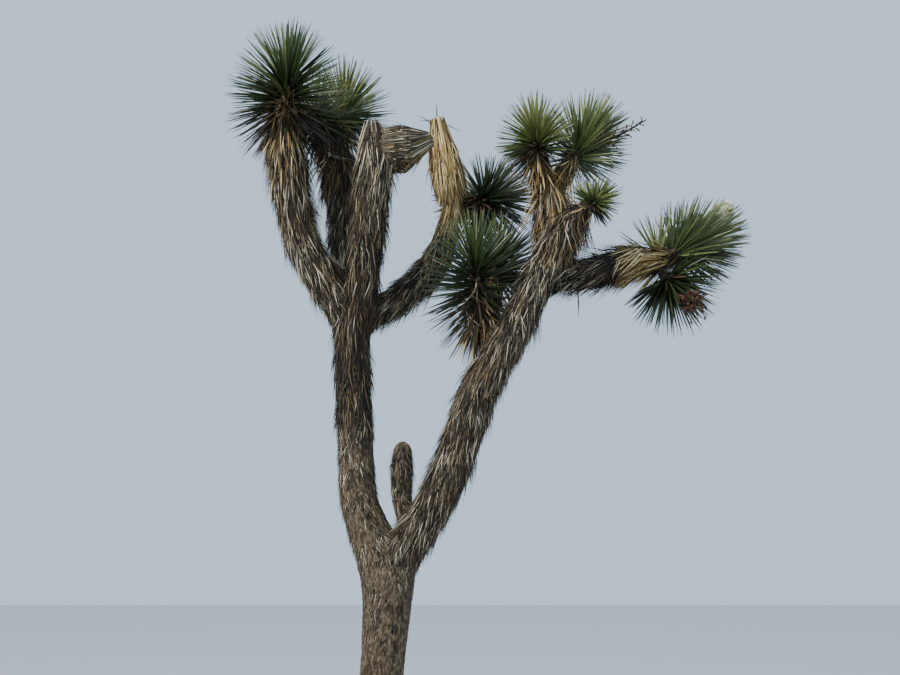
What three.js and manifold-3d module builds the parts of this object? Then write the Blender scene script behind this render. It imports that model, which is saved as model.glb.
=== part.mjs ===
// A joshua tree, about 4.6 m tall: a leaning trunk, two main stems, nine boughs, a dead stub and
// fourteen heads. Millimetres, +Z up, origin at the middle of the flat cut under the trunk, at ground
// level. Every limb is a tube bent along a smooth line. Every head is a stem with blades set round it
// by one spiral rule.
import * as THREE from "three";
import { mergeVertices } from "three/addons/utils/BufferGeometryUtils.js";
import Module from "manifold-3d";

const wasm = await Module();
wasm.setup();

// Driving dimensions
const GAP = 0.35; // clearance between neighbouring solids
const CLEARANCE = 2; // least distance from a blade to a limb or to another head
const SLIVER = 0.05; // steps smaller than this are smoothed away where blades join their stem
const GROUND_CUT = 80; // how far the trunk's tube is drawn below the ground before the flat cut
const LIMB_SIDES = 12;
const LIMB_STEP = 95; // spacing of a limb's rings along its line
const SHAG = 0.035; // unevenness of the limbs' thatch, as a share of the radius
const SHAG_WAVES = [90, 150]; // its two wave lengths along a limb, over 2 pi
const FLARE_LOBES = 5; // buttresses round the foot of the trunk
const FLARE_DEPTH = 0.1; // their height, as a share of the radius
const FLARE_TOP = 420; // where they fade out
const STEM_SIDES = 6;
const STEM_STEP = 100;
const STEM_SHOULDER = 0.95; // radius of a stem below its widest place, as a share of the widest
const STEM_TIP = 0.35; // radius of its growing point
const STEM_SAMPLES = [0.1, 0.25, 0.4, 0.55, 0.7, 0.85, 1]; // places that stand for a stem in distances
const CURVE_SAMPLES = 400; // fineness of the lengths measured along a line
const WELD = 1e-4; // vertices closer than this are one

// The blades. Each stands for about six real ones, so it is wider than their 13 mm.
const BLADE_WIDTH = 30;
const BLADE_THICKNESS = 13;
const WIDEST = 0.16; // place of the widest point, as a share of the length from the root
const SINK = 34; // depth of the root's point inside the stem
const ROOT_DEPTH = 0.62; // place of the root, as a share of the stem's radius
const ROOT_SPREAD = 1.4; // how soon the roots round the growing point move out to that place
const TIP_GAP = 0.03; // stretch above the topmost blade, as a share of the stem
const DEAD_TO = 0.8; // how far down the stem the dead blades reach, as a share of the stem
const LENGTH_SPREAD = 0.1;
const TILT_SPREAD = 0.16; // unevenness of the blades' angles, in radians
const TURN_SPREAD = 0.3;
const LEVEL_LEAST = 0.2; // a stem whose direction is less level than this counts as upright
const BLADE_SAMPLES = [0.3, 0.5, 0.7, 0.85, 1]; // places of a blade that have to lie in its own space
const GOLDEN_ANGLE = Math.PI * (3 - Math.sqrt(5));
const FIRST_SEED = 1000;
const DEG = Math.PI / 180;

// Bark and leaf colours
const BARK = { color: 0x6e655a, roughness: 0.95, metalness: 0 };
const THATCH = { color: 0x645c50, roughness: 0.95, metalness: 0 };
const GREEN = { color: 0x44552c, roughness: 0.6, metalness: 0 };
const STRAW = { color: 0xa08a5c, roughness: 0.85, metalness: 0 };

// Limbs, from the ground up. Each station is [x, y, z, radius], and a limb is cut clear of those before it.
const LIMBS = [
  {
    name: "trunk",
    look: BARK,
    flare: true,
    line: [
      [0, 0, -GROUND_CUT, 205],
      [0, 0, 0, 182],
      [2, 0, 150, 152],
      [10, 0, 450, 126],
      [25, 0, 800, 113],
      [40, 0, 1090, 110],
      [56, 0, 1320, 117],
      [61, 0, 1500, 125],
      [61, 0, 1610, 129],
    ],
  },
  {
    name: "left_stem",
    look: BARK,
    line: [
      [66, 0, 1520, 108],
      [30, 0, 1640, 126],
      [-32, 0, 1785, 116],
      [-95, 0, 1965, 101],
      [-120, 0, 2230, 104],
      [-140, 0, 2495, 100],
      [-155, 0, 2775, 104],
      [-152, 0, 2950, 112],
    ],
  },
  {
    name: "right_stem",
    look: THATCH,
    line: [
      [60, 0, 1545, 90],
      [125, 0, 1680, 108],
      [240, -60, 1850, 111],
      [345, -130, 2000, 112],
      [455, -220, 2285, 111],
      [540, -290, 2515, 109],
      [670, -330, 2720, 105],
      [805, -340, 2965, 106],
    ],
  },
  {
    name: "right_bough",
    look: THATCH,
    line: [
      [760, -338, 2885, 88],
      [805, -340, 2965, 104],
      [890, -340, 3155, 108],
      [980, -360, 3300, 98],
      [1040, -390, 3385, 78],
      [1085, -420, 3440, 56],
    ],
  },
  {
    name: "arm_bough",
    look: THATCH,
    line: [
      [880, -345, 3085, 78],
      [960, -330, 3108, 86],
      [1130, -280, 3140, 86],
      [1335, -200, 3185, 84],
      [1450, -160, 3205, 68],
      [1535, -130, 3222, 50],
    ],
  },
  {
    name: "top_bough",
    look: THATCH,
    line: [
      [935, -335, 3190, 60],
      [932, -300, 3290, 70],
      [920, -280, 3400, 73],
      [915, -255, 3560, 72],
      [922, -242, 3665, 56],
    ],
  },
  {
    name: "inner_bough",
    look: THATCH,
    line: [
      [665, -315, 2700, 50],
      [630, -240, 2800, 55],
      [596, -170, 2885, 57],
      [574, -125, 2955, 54],
    ],
  },
  {
    name: "bent_bough",
    look: THATCH,
    line: [
      [-150, 0, 2860, 70],
      [-100, 5, 2950, 86],
      [89, 70, 3088, 90],
      [255, 150, 3263, 87],
      [334, 180, 3397, 82],
      [362, 188, 3500, 76],
    ],
  },
  {
    name: "bent_bough_tip",
    look: THATCH,
    line: [
      [342, 185, 3430, 64],
      [366, 188, 3520, 75],
      [392, 178, 3660, 72],
      [393, 150, 3800, 67],
    ],
  },
  {
    name: "front_bough",
    look: THATCH,
    line: [
      [-150, -5, 2850, 72],
      [-125, -30, 2955, 94],
      [-76, -180, 3225, 91],
      [-40, -280, 3490, 98],
      [-20, -340, 3725, 92],
      [-28, -360, 3870, 78],
      [-35, -362, 3925, 56],
    ],
  },
  {
    name: "rear_bough",
    look: THATCH,
    line: [
      [-152, 5, 2860, 70],
      [-158, 25, 2960, 90],
      [-210, 80, 3311, 92],
      [-239, 130, 3621, 91],
      [-287, 160, 3919, 96],
      [-304, 165, 4034, 79],
    ],
  },
  {
    name: "outer_bough",
    look: THATCH,
    line: [
      [-150, 0, 2850, 70],
      [-175, -5, 2945, 92],
      [-300, -70, 3130, 96],
      [-415, -150, 3330, 100],
      [-485, -220, 3570, 101],
      [-515, -270, 3785, 103],
      [-525, -288, 3905, 80],
      [-528, -293, 3985, 60],
    ],
  },
  {
    name: "dead_stub",
    look: BARK,
    line: [
      [175, -10, 1755, 36],
      [158, 20, 1850, 41],
      [136, 60, 1960, 46],
      [126, 80, 2135, 55],
      [126, 82, 2235, 46],
      [126, 82, 2272, 32],
    ],
  },
];

// Heads of leaves. A stem runs from inside its bough's tip to the growing point, with radius `neck`,
// then `body`, and its middle stands `rise` above the straight line. `live` is the share of the blades
// that are green, and the others are dead and turned back. The green ones reach `liveTo` of the way down
// the stem. Measured from the stem's direction, the last green blade stands at `set` degrees, and the
// dead ones at `turnFrom` to `turnBack`. The lowest green blade is the share `shorten` shorter than the
// topmost one.
const HEAD_DEFAULTS = {
  rise: 0, live: 0.8, liveTo: 0.45, set: 118, turnFrom: 132, turnBack: 164, shorten: 0.14,
};
const HEADS = [
  {
    name: "crown_outer", leaves: 84, length: 308, shorten: 0.06, live: 0.88, liveTo: 0.8, set: 148,
    turnFrom: 150, from: [-527, -290, 3960], to: [-518, -310, 4306], neck: 52, body: 56,
  },
  {
    name: "crown_rear_front", leaves: 60, length: 285, set: 134, turnFrom: 146,
    from: [-330, 122, 4004], to: [-405, -100, 4185], rise: 38, neck: 34, body: 41,
  },
  {
    name: "crown_rear_top", leaves: 58, length: 318, liveTo: 0.32, set: 124,
    from: [-287, 193, 4004], to: [-266, 205, 4370], neck: 34, body: 43,
  },
  {
    name: "dead_head_bent", leaves: 34, length: 250, live: 0, liveTo: 0, turnFrom: 150,
    from: [-5, -362, 3805], to: [275, -280, 3905], rise: -26, radii: [66, 132, 104, 70, 46],
  },
  {
    name: "dead_head_tall", leaves: 52, length: 290, live: 0, liveTo: 0, turnFrom: 157,
    from: [386, 152, 3780], to: [313, 40, 4178], radii: [62, 80, 76, 58, 44],
  },
  {
    name: "crown_hidden", leaves: 58, length: 300, set: 138,
    from: [410, 190, 3700], to: [665, 400, 3838], neck: 36, body: 46,
  },
  {
    name: "crown_inner_front", leaves: 60, length: 300, shorten: 0, set: 150, liveTo: 0.95,
    from: [552, -138, 2925], to: [512, -325, 3205], neck: 25, body: 42,
  },
  {
    name: "crown_inner_rear", leaves: 54, length: 295, liveTo: 0.35,
    from: [588, -84, 2925], to: [665, 72, 3345], neck: 25, body: 42,
  },
  {
    name: "crown_top_left", leaves: 58, length: 228, liveTo: 0.4, set: 126,
    from: [898, -252, 3640], to: [857, -300, 3950], neck: 24, body: 44,
  },
  {
    name: "crown_top_right", leaves: 58, length: 288, set: 84, fruit: "stalk",
    from: [950, -230, 3640], to: [1175, -145, 4006], rise: -12, neck: 24, body: 44,
  },
  {
    name: "crown_small", leaves: 36, length: 134, set: 112,
    from: [1068, -411, 3422], to: [1166, -466, 3484], neck: 42, body: 42,
  },
  {
    name: "crown_arm_upper", leaves: 62, length: 312, set: 68, liveTo: 0.62, fruit: "bud",
    from: [1528, -118, 3238], to: [1795, -50, 3392], neck: 24, body: 46,
  },
  {
    name: "crown_arm_lower", leaves: 50, length: 290, live: 1, set: 98, fruit: "cluster",
    from: [1542, -142, 3192], to: [1595, -130, 3118], neck: 20, body: 38,
  },
  {
    name: "crown_arm_rear", leaves: 26, length: 262, set: 70,
    from: [1535, -100, 3228], to: [1552, -70, 3325], neck: 18, body: 32,
  },
];

// What stands out of some heads: a dry fruit stalk, a cluster of old fruit and one flower bud.
const STALK_SIDES = 5;
const STALK_LINE = [
  [1110, -150, 3925, 12],
  [1214, -250, 3897, 11],
  [1333, -330, 3918, 9],
  [1460, -360, 3984, 6],
];
const STALK_PODS = 9;
const STALK_BARE = 0.22; // share of the stalk below its first pod
const STALK_HUNG = 0.6; // share of the stalk that carries the pods
const POD_RADIUS = 26;
const POD_TAPER = 0.05; // how much smaller each pod is than the one below
const POD_OFFSET = 1.2; // how far its middle stands out from the stalk, in the stalk's radius
const POD_WIDTH = 0.8;
const POD_LENGTH = 1.2;
const CLUSTER_STALK = [
  [1592, -134, 3122, 14],
  [1602, -215, 3035, 14],
  [1664, -280, 2975, 12],
];
const CLUSTER_RADIUS = 60;
const CLUSTER_PODS = 13;
const CLUSTER_RING = 0.65; // how far the pods' middles stand out, as a share of that radius
const CLUSTER_CORE = 0.75;
const BUD_SIDES = 8;
const BUD_STEP = 40;
const BUD_LINE = [
  [1790, -50, 3390, 14],
  [1885, -26, 3490, 18],
  [1925, -6, 3560, 50],
  [1965, 5, 3602, 52],
  [1990, 12, 3628, 20],
];

// A seeded generator of numbers from 0 to 1.
function randomFrom(seed) {
  let state = seed >>> 0;
  return () => {
    state = (state + 0x6d2b79f5) >>> 0;
    let t = Math.imul(state ^ (state >>> 15), state | 1);
    t = (t + Math.imul(t ^ (t >>> 7), t | 61)) ^ t;
    return ((t ^ (t >>> 14)) >>> 0) / 4294967296;
  };
}

const pointOf = ([x, y, z]) => new THREE.Vector3(x, y, z);

// The smooth line through a list of stations, with its radius: at(u) takes u from 0 to 1 along its length.
function smoothLine(stations) {
  const curve = new THREE.CatmullRomCurve3(stations.map(pointOf), false, "centripetal");
  curve.arcLengthDivisions = CURVE_SAMPLES;
  const last = stations.length - 1;
  const radiusAt = (t) => {
    const i = Math.min(Math.floor(t * last), last - 1);
    return THREE.MathUtils.lerp(stations[i][3], stations[i + 1][3], t * last - i);
  };
  return {
    curve,
    length: curve.getLength(),
    at(u) {
      const t = curve.getUtoTmapping(u);
      return { point: curve.getPoint(t), tangent: curve.getTangent(t).normalize(), radius: radiusAt(t) };
    },
  };
}

// A closed mesh as a solid that can be joined and cut.
function solidOf(geometry) {
  geometry.deleteAttribute("normal");
  geometry.deleteAttribute("uv");
  const merged = mergeVertices(geometry, WELD);
  return new wasm.Manifold(
    new wasm.Mesh({
      numProp: 3,
      vertProperties: new Float32Array(merged.attributes.position.array),
      triVerts: new Uint32Array(merged.index.array),
    }),
  );
}

// A cylinder bent along a smooth line. `grow` makes it larger all round, and `shape(angle, u)` scales its
// radius.
function bentTube(stations, sides, step, grow = 0, shape = () => 1) {
  const line = smoothLine(stations);
  const rings = Math.max(2, Math.round(line.length / step));
  const frames = line.curve.computeFrenetFrames(rings, false);
  const geometry = new THREE.CylinderGeometry(1, 1, 1, sides, rings);
  const position = geometry.attributes.position;
  const v = new THREE.Vector3();
  for (let i = 0; i < position.count; i++) {
    v.fromBufferAttribute(position, i);
    const ring = Math.round((v.y + 0.5) * rings);
    const { point, radius } = line.at(ring / rings);
    const reach = Math.hypot(v.x, v.z) > 0.5 ? 1 : 0;
    const angle = Math.atan2(v.z, v.x);
    const r = reach * (radius * shape(angle, ring / rings) + grow);
    point.addScaledVector(frames.normals[ring], r * Math.cos(angle));
    point.addScaledVector(frames.binormals[ring], -r * Math.sin(angle));
    if (ring === 0) point.addScaledVector(frames.tangents[ring], -grow);
    if (ring === rings) point.addScaledVector(frames.tangents[ring], grow);
    position.setXYZ(i, point.x, point.y, point.z);
  }
  return solidOf(geometry);
}

// The uneven outline of a limb: soft waves of thatch, and the lobes of the flare at the foot of the trunk.
function limbShape(limb, index) {
  const line = smoothLine(limb.line);
  const [short, long] = SHAG_WAVES;
  return (angle, u) => {
    const along = u * line.length;
    const rising = Math.sin(3 * angle + along / short + index);
    const falling = Math.sin(2 * angle - along / long + 2 * index);
    const height = limb.flare ? line.at(u).point.z : FLARE_TOP;
    const flare = Math.max(0, 1 - Math.max(0, height) / FLARE_TOP);
    return 1 + (SHAG * (rising + falling)) / 2 + FLARE_DEPTH * flare * Math.cos(FLARE_LOBES * angle);
  };
}

function limbSolid(index, grow = 0) {
  const limb = LIMBS[index];
  return bentTube(limb.line, LIMB_SIDES, LIMB_STEP, grow, limbShape(limb, index));
}

const joined = (solids) => solids.reduce((whole, solid) => whole.add(solid));

// The largest body of a solid, without the loose scraps that a cut leaves.
function largest(solid) {
  return solid.decompose().reduce((best, body) => (body.volume() > best.volume() ? body : best));
}

// Whether the boxes of two solids meet.
function near(a, b) {
  const p = a.boundingBox();
  const q = b.boundingBox();
  return [0, 1, 2].every((i) => p.min[i] <= q.max[i] && q.min[i] <= p.max[i]);
}

function cutClear(solid, cutters) {
  return largest(cutters.filter((c) => near(solid, c)).reduce((left, c) => left.subtract(c), solid));
}

// Everything below the ground, taken off the trunk for its flat cut.
function belowGround() {
  const box = new THREE.BoxGeometry(1000, 1000, 2 * GROUND_CUT);
  box.translate(0, 0, -GROUND_CUT);
  return solidOf(box);
}

function makeLimbs() {
  const grown = LIMBS.map((_, i) => limbSolid(i, GAP));
  return LIMBS.map((limb, i) => {
    const cutters = limb.flare ? [belowGround()] : grown.slice(0, i);
    return { ...limb, solid: cutClear(limbSolid(i), cutters) };
  });
}

// A head's stem as stations, with its growing point narrowed.
function stemStations({ from, to, rise, neck, body, ...given }) {
  const radii = given.radii ?? [neck, STEM_SHOULDER * body, body, STEM_TIP * body];
  const last = radii.length - 1;
  return radii.map((radius, i) => {
    const t = i / last;
    const [x, y, z] = from.map((start, axis) => THREE.MathUtils.lerp(start, to[axis], t));
    return [x, y, z + 4 * rise * t * (1 - t), radius];
  });
}

// A blade's place in its head. The blades follow a spiral of the golden angle: the green ones are spread
// evenly over the sphere round the growing point, and the dead ones hang back below them.
function placeOf(head, k) {
  const greens = Math.round(head.leaves * head.live);
  if (k < greens) {
    const share = (k + 0.5) / greens;
    const polar = Math.acos(1 - share * (1 - Math.cos(head.set * DEG)));
    return { polar, depth: head.liveTo * share, scale: 1 - head.shorten * share };
  }
  const share = (k - greens + 0.5) / (head.leaves - greens);
  const polar = THREE.MathUtils.lerp(head.turnFrom, head.turnBack, share) * DEG;
  const depth = THREE.MathUtils.lerp(head.liveTo, DEAD_TO, share);
  return { polar, depth, scale: 1 - head.shorten };
}

// The blade number k of a head: its root, its direction, the way out of the stem, and its length.
function bladeOf(head, k, random) {
  const { polar, depth, scale } = placeOf(head, k);
  const spread = (size) => (random() - 0.5) * size;
  const tilt = polar + spread(TILT_SPREAD);
  const turn = k * GOLDEN_ANGLE + spread(TURN_SPREAD);
  const { point, tangent, radius } = head.smooth.at(1 - TIP_GAP - depth);
  const level = new THREE.Vector3(-tangent.y, tangent.x, 0);
  const side = level.length() < LEVEL_LEAST ? new THREE.Vector3(1, 0, 0) : level.normalize();
  const other = tangent.clone().cross(side).normalize();
  const across = other.clone().cross(tangent);
  const outward = across.multiplyScalar(Math.cos(turn)).addScaledVector(other, Math.sin(turn));
  const direction = tangent.clone().multiplyScalar(Math.cos(tilt));
  direction.addScaledVector(outward, Math.sin(tilt));
  const depthInStem = ROOT_DEPTH * radius * Math.min(1, ROOT_SPREAD * Math.sin(polar));
  const root = point.clone().addScaledVector(outward, depthInStem);
  return { root, direction, outward, length: head.length * scale * (1 + spread(LENGTH_SPREAD)) };
}

// A blade as a solid of eight faces: a dagger, widest near its root.
function bladeSolid({ root, direction, outward, length }) {
  const flat = direction.clone().cross(outward).normalize();
  const thick = flat.clone().cross(direction);
  const geometry = new THREE.OctahedronGeometry(1);
  const position = geometry.attributes.position;
  for (let i = 0; i < position.count; i++) {
    const [x, y, z] = [position.getX(i), position.getY(i), position.getZ(i)];
    const along = y > 0.5 ? length : y < -0.5 ? -SINK : WIDEST * length;
    const p = root.clone().addScaledVector(direction, along);
    p.addScaledVector(flat, 0.5 * BLADE_WIDTH * x).addScaledVector(thick, 0.5 * BLADE_THICKNESS * z);
    position.setXYZ(i, p.x, p.y, p.z);
  }
  return solidOf(geometry);
}

function distanceToStem(head, p) {
  return Math.min(...head.stemPoints.map((q) => q.distanceTo(p)));
}

// Whether a blade stays on its own head's side of the space between two heads.
function inOwnSpace(blade, head, heads) {
  return BLADE_SAMPLES.every((share) => {
    const p = blade.root.clone().addScaledVector(blade.direction, share * blade.length);
    const own = distanceToStem(head, p);
    return heads.every((other) => other === head || distanceToStem(other, p) > own);
  });
}

function isClear(solid, others) {
  return others.every((other) => !near(solid, other) || solid.minGap(other, CLEARANCE) >= CLEARANCE);
}

// A dry seed pod, longer than wide, centred on a point.
function podSolid(centre, radius) {
  const pod = new THREE.OctahedronGeometry(radius, 0);
  pod.scale(POD_WIDTH, POD_WIDTH, POD_LENGTH);
  pod.translate(centre.x, centre.y, centre.z);
  return solidOf(pod);
}

// The dry flower stalk, with its empty pods set round it in a spiral.
function stalkFruit() {
  const line = smoothLine(STALK_LINE);
  const pods = Array.from({ length: STALK_PODS }, (_, i) => {
    const { point, radius } = line.at(STALK_BARE + (STALK_HUNG * i) / STALK_PODS);
    const turn = i * GOLDEN_ANGLE;
    const offset = new THREE.Vector3(0, Math.cos(turn), Math.sin(turn));
    point.addScaledVector(offset, POD_OFFSET * radius);
    return podSolid(point, POD_RADIUS * (1 - POD_TAPER * i));
  });
  return [bentTube(STALK_LINE, STALK_SIDES, STEM_STEP), ...pods];
}

// Old fruit in a ball on the end of its stalk, the pods spread over it in a spiral.
function clusterFruit() {
  const { point: centre } = smoothLine(CLUSTER_STALK).at(1);
  const pods = Array.from({ length: CLUSTER_PODS }, (_, i) => {
    const up = 1 - (2 * (i + 0.5)) / CLUSTER_PODS;
    const out = Math.sqrt(1 - up * up);
    const turn = i * GOLDEN_ANGLE;
    const offset = new THREE.Vector3(out * Math.cos(turn), out * Math.sin(turn), up);
    return podSolid(offset.multiplyScalar(CLUSTER_RING * CLUSTER_RADIUS).add(centre), POD_RADIUS);
  });
  const core = podSolid(centre, CLUSTER_CORE * CLUSTER_RADIUS);
  return [bentTube(CLUSTER_STALK, STALK_SIDES, STEM_STEP), core, ...pods];
}

const budFruit = () => [bentTube(BUD_LINE, BUD_SIDES, BUD_STEP)];

const FRUIT = { stalk: stalkFruit, cluster: clusterFruit, bud: budFruit };

// The heads: first every stem with its fruit, cut clear of the limbs and of the stems before it, and then
// the blades.
function makeHeads(limbs) {
  const heads = HEADS.map((given) => {
    const spec = { ...HEAD_DEFAULTS, ...given };
    const line = stemStations(spec);
    const smooth = smoothLine(line);
    const stemPoints = STEM_SAMPLES.map((u) => smooth.at(u).point);
    return { ...spec, line, smooth, stemPoints };
  });
  const cutters = LIMBS.map((_, i) => limbSolid(i, GAP));
  for (const head of heads) {
    const stem = bentTube(head.line, STEM_SIDES, STEM_STEP);
    const fruit = head.fruit ? FRUIT[head.fruit]() : [];
    head.solid = cutClear(joined([stem, ...fruit]), cutters);
    cutters.push(bentTube(head.line, STEM_SIDES, STEM_STEP, GAP));
  }
  const limbSolids = limbs.map((limb) => limb.solid);
  for (const [i, head] of heads.entries()) {
    const random = randomFrom(FIRST_SEED + i);
    const others = [...limbSolids, ...heads.filter((h) => h !== head).map((h) => h.solid)];
    const blades = Array.from({ length: head.leaves }, (_, k) => bladeOf(head, k, random));
    const kept = blades.filter((blade) => inOwnSpace(blade, head, heads)).map(bladeSolid);
    const clear = kept.filter((blade) => isClear(blade, others));
    head.solid = largest(joined([head.solid, ...clear])).simplify(SLIVER);
  }
  return heads.map(({ name, live, solid }) => ({ name, look: live > 0 ? GREEN : STRAW, solid }));
}

function meshOf({ name, look, solid }) {
  const { vertProperties, triVerts } = solid.getMesh();
  const geometry = new THREE.BufferGeometry();
  geometry.setAttribute("position", new THREE.BufferAttribute(new Float32Array(vertProperties), 3));
  geometry.setIndex(new THREE.BufferAttribute(new Uint32Array(triVerts), 1));
  geometry.computeVertexNormals();
  const mesh = new THREE.Mesh(geometry, new THREE.MeshStandardMaterial(look));
  mesh.name = name;
  return mesh;
}

const tree = new THREE.Group();
const limbs = makeLimbs();
for (const piece of [...limbs, ...makeHeads(limbs)]) tree.add(meshOf(piece));

export default tree;
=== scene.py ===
import math

import bmesh
import bpy
import numpy as np
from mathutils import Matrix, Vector, noise


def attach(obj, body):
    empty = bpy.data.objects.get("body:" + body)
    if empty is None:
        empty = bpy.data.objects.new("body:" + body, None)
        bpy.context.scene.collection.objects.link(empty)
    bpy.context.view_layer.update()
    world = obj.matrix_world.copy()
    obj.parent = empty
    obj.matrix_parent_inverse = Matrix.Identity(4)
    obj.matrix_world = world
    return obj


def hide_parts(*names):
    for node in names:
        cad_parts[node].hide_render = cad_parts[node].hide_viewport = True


# A joshua tree dressed for the render. Metres, +Z up, origin at the middle of the flat cut at the ground.
# Bark covers the limbs, dead leaves lie back along them, and every head carries a ball of daggers.

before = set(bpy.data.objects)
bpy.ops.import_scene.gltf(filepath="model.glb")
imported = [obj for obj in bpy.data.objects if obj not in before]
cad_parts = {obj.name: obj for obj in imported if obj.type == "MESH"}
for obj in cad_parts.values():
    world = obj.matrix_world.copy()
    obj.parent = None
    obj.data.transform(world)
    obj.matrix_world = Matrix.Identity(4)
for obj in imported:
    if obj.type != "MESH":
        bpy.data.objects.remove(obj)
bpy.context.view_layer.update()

# The camera, with its tilt above level in degrees, and the light
LENS_MM = 37.2
SENSOR_MM = 36
EYE = (0.386, -5.0, 1.6)
TILT_UP = 14.0
KEY_LIGHT = {
    "place": (-5, -6, 8), "target": (0.4, 0, 3), "size": 3, "power": 1100, "colour": (1.0, 0.93, 0.84),
}
SKY_STRENGTH = 1.35

# Limbs, from the ground up, as stations of x, y, z and radius
LIMBS = {
    "trunk": [
        (0, 0, 0, 0.182), (0.002, 0, 0.15, 0.152), (0.01, 0, 0.45, 0.126), (0.025, 0, 0.8, 0.113),
        (0.04, 0, 1.09, 0.111), (0.056, 0, 1.32, 0.121), (0.061, 0, 1.5, 0.132), (0.061, 0, 1.61, 0.137),
    ],
    "left_stem": [
        (0.066, 0, 1.52, 0.108), (0.03, 0, 1.64, 0.13), (-0.036, 0, 1.785, 0.117),
        (-0.098, 0, 1.965, 0.105), (-0.12, 0, 2.23, 0.103), (-0.138, 0, 2.495, 0.095),
        (-0.154, 0, 2.775, 0.097), (-0.152, 0, 2.95, 0.112),
    ],
    "right_stem": [
        (0.06, 0, 1.545, 0.09), (0.135, 0, 1.68, 0.112), (0.252, -0.06, 1.85, 0.106),
        (0.343, -0.13, 2, 0.105), (0.458, -0.22, 2.285, 0.104), (0.543, -0.29, 2.515, 0.103),
        (0.673, -0.33, 2.72, 0.095), (0.797, -0.34, 2.965, 0.086),
    ],
    "right_bough": [
        (0.75, -0.338, 2.885, 0.078), (0.797, -0.34, 2.965, 0.086), (0.89, -0.34, 3.155, 0.102),
        (0.98, -0.36, 3.3, 0.098), (1.04, -0.39, 3.385, 0.078), (1.085, -0.42, 3.44, 0.056),
    ],
    "arm_bough": [
        (0.88, -0.345, 3.085, 0.078), (0.96, -0.33, 3.102, 0.083), (1.13, -0.28, 3.131, 0.083),
        (1.335, -0.2, 3.222, 0.071), (1.45, -0.16, 3.24, 0.058), (1.56, -0.13, 3.242, 0.032),
    ],
    "top_bough": [
        (0.935, -0.335, 3.19, 0.06), (0.94, -0.3, 3.29, 0.074), (0.936, -0.28, 3.4, 0.082),
        (0.93, -0.255, 3.56, 0.08), (0.922, -0.242, 3.665, 0.056),
    ],
    "inner_bough": [
        (0.665, -0.315, 2.7, 0.05), (0.63, -0.24, 2.8, 0.055), (0.596, -0.17, 2.885, 0.057),
        (0.574, -0.125, 2.955, 0.054),
    ],
    "bent_bough": [
        (-0.15, 0, 2.86, 0.07), (-0.1, 0.005, 2.95, 0.086), (0.089, 0.07, 3.088, 0.09),
        (0.252, 0.15, 3.263, 0.093), (0.328, 0.18, 3.397, 0.088), (0.358, 0.188, 3.5, 0.078),
    ],
    "bent_bough_tip": [
        (0.345, 0.185, 3.43, 0.062), (0.368, 0.188, 3.52, 0.07), (0.397, 0.178, 3.66, 0.066),
        (0.4, 0.15, 3.8, 0.06),
    ],
    "front_bough": [
        (-0.15, -0.005, 2.85, 0.072), (-0.125, -0.03, 2.955, 0.094), (-0.076, -0.18, 3.225, 0.091),
        (-0.045, -0.28, 3.49, 0.095), (-0.022, -0.34, 3.725, 0.092), (-0.028, -0.36, 3.87, 0.078),
        (-0.035, -0.362, 3.925, 0.056),
    ],
    "rear_bough": [
        (-0.152, 0.005, 2.86, 0.07), (-0.158, 0.025, 2.96, 0.09), (-0.21, 0.08, 3.311, 0.092),
        (-0.239, 0.13, 3.621, 0.091), (-0.272, 0.16, 3.919, 0.106), (-0.292, 0.165, 4.034, 0.088),
    ],
    "outer_bough": [
        (-0.15, 0, 2.85, 0.07), (-0.175, -0.005, 2.945, 0.092), (-0.3, -0.07, 3.13, 0.096),
        (-0.415, -0.15, 3.33, 0.1), (-0.481, -0.22, 3.57, 0.098), (-0.511, -0.27, 3.785, 0.1),
        (-0.525, -0.288, 3.905, 0.08), (-0.528, -0.293, 3.985, 0.06),
    ],
    "dead_stub": [
        (0.175, -0.01, 1.755, 0.036), (0.154, 0.02, 1.85, 0.044), (0.13, 0.06, 1.96, 0.051),
        (0.124, 0.08, 2.135, 0.057), (0.126, 0.082, 2.235, 0.046), (0.126, 0.082, 2.262, 0.036),
        (0.126, 0.082, 2.276, 0.016),
    ],
}
SHAG = 0.035  # how uneven a limb's outline is, as a share of its radius
FLARE_LOBES = 5
FLARE_DEPTH = 0.1  # of the lobes at the ground, as a share of the radius there
FLARE_TOP = 0.42  # height at which they end
FILLET = 0.06  # reach of the soft swelling where one limb leaves another
FILLET_RISE = 0.01  # and its height
SKIN = 0.014  # how far the bark of a limb lies below its shaggy outline
THIN_SKINS = {"trunk": 0.002, "dead_stub": 0, "left_stem": 0.01, "right_stem": 0.011}
LEAST_BARK = 0.6  # share of its outline's radius that a thin limb's bark keeps

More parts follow.
